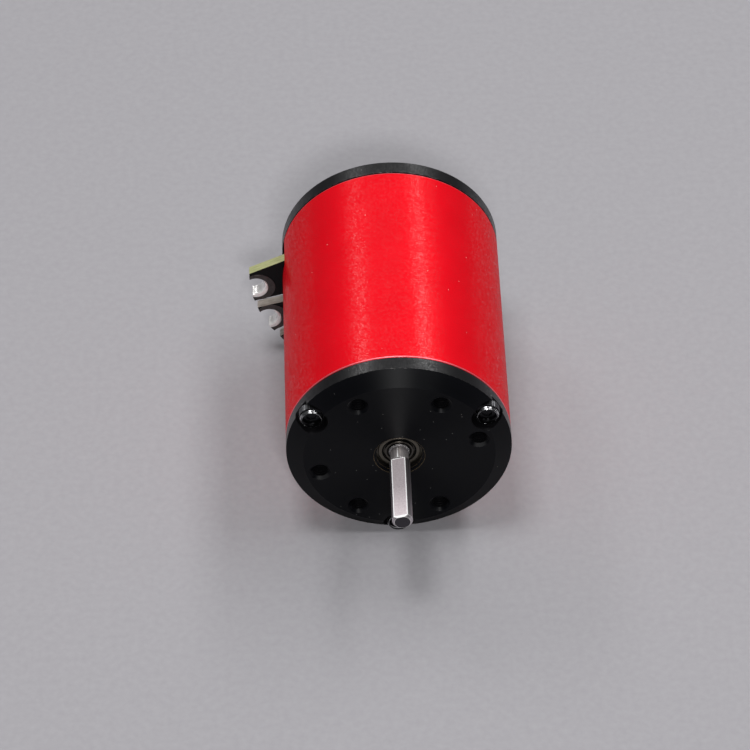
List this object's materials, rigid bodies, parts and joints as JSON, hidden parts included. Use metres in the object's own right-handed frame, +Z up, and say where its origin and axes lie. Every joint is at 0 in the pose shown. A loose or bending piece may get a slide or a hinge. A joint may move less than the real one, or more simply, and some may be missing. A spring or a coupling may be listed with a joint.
{
  "type": "brushless inrunner motor",
  "caption": "Brushless inrunner motor with a fixed can between two covers, a flatted shaft in ball bearings, tapped mounting holes in its front face and solder tabs at the rear.",
  "frame": {"origin": "centre of the front mounting face, on the shaft's axis", "axes": "-Y along the shaft and out of the front face, +Y back through the motor, +Z up with the motor lying on its side, +X to the right seen from the front"},
  "size_m": [0.0404, 0.064, 0.035],
  "materials": {
    "red_can": "red anodised, fine bead-blasted",
    "black_cover": "black anodised, turned",
    "dark_screw": "black oxide",
    "bearing_steel": "ground",
    "shield_steel": "pressed",
    "spring_steel": "plain",
    "laminations": "stamped sheet",
    "liner_paper": "film",
    "insulator_plastic": "moulded",
    "copper": "enamelled copper wire",
    "solder": "bright solder",
    "board": "glass laminate with a black mask",
    "tinned_copper": "tinned",
    "shaft_steel": "ground",
    "magnet": "nickel-plated sintered magnet",
    "sleeve": "carbon fibre winding",
    "brass": "turned",
    "cage_brass": "pressed"
  },
  "bodies": {
    "housing": {"can": "red_can", "front_cover": "black_cover", "rear_cover": "black_cover", "front_cover_screws": "dark_screw", "rear_cover_screws": "dark_screw", "front_bearing_outer_race": "bearing_steel", "front_bearing_shields": "shield_steel", "rear_bearing_outer_race": "bearing_steel", "rear_bearing_shields": "shield_steel", "preload_washer": "spring_steel", "stator_stack": "laminations", "slot_liners": "liner_paper", "front_insulator": "insulator_plastic", "rear_insulator": "insulator_plastic", "coils_phase_a": "copper", "coils_phase_b": "copper", "coils_phase_c": "copper", "phase_leads": "copper", "lead_solder": "solder", "terminal_board": "board", "tab_pads": "tinned_copper", "tab_solder": "solder", "board_screws": "spring_steel"},
    "rotor": {"shaft": "shaft_steel", "rotor_magnet": "magnet", "magnet_sleeve": "sleeve", "front_balance_ring": "brass", "rear_balance_ring": "brass", "front_shim": "spring_steel", "rear_spacer": "brass", "front_bearing_inner_race": "bearing_steel", "rear_bearing_inner_race": "bearing_steel"},
    "front_ball_set": {"front_bearing_balls": "bearing_steel", "front_bearing_cage": "cage_brass"},
    "rear_ball_set": {"rear_bearing_balls": "bearing_steel", "rear_bearing_cage": "cage_brass"}
  },
  "joints": [
    {"name": "rotor_spin", "type": "hinge", "parent": "housing", "child": "rotor", "pos_m": [0, 0, 0], "axis": [0, 1, 0], "continuous": true},
    {"name": "front_cage_spin", "type": "hinge", "parent": "housing", "child": "front_ball_set", "pos_m": [0, 0.00293, 0], "axis": [0, 1, 0], "continuous": true},
    {"name": "rear_cage_spin", "type": "hinge", "parent": "housing", "child": "rear_ball_set", "pos_m": [0, 0.04662, 0], "axis": [0, 1, 0], "continuous": true}
  ],
  "couplings": [
    {"joint": "front_cage_spin", "follows": "rotor_spin", "ratio": 0.375},
    {"joint": "rear_cage_spin", "follows": "rotor_spin", "ratio": 0.375}
  ]
}
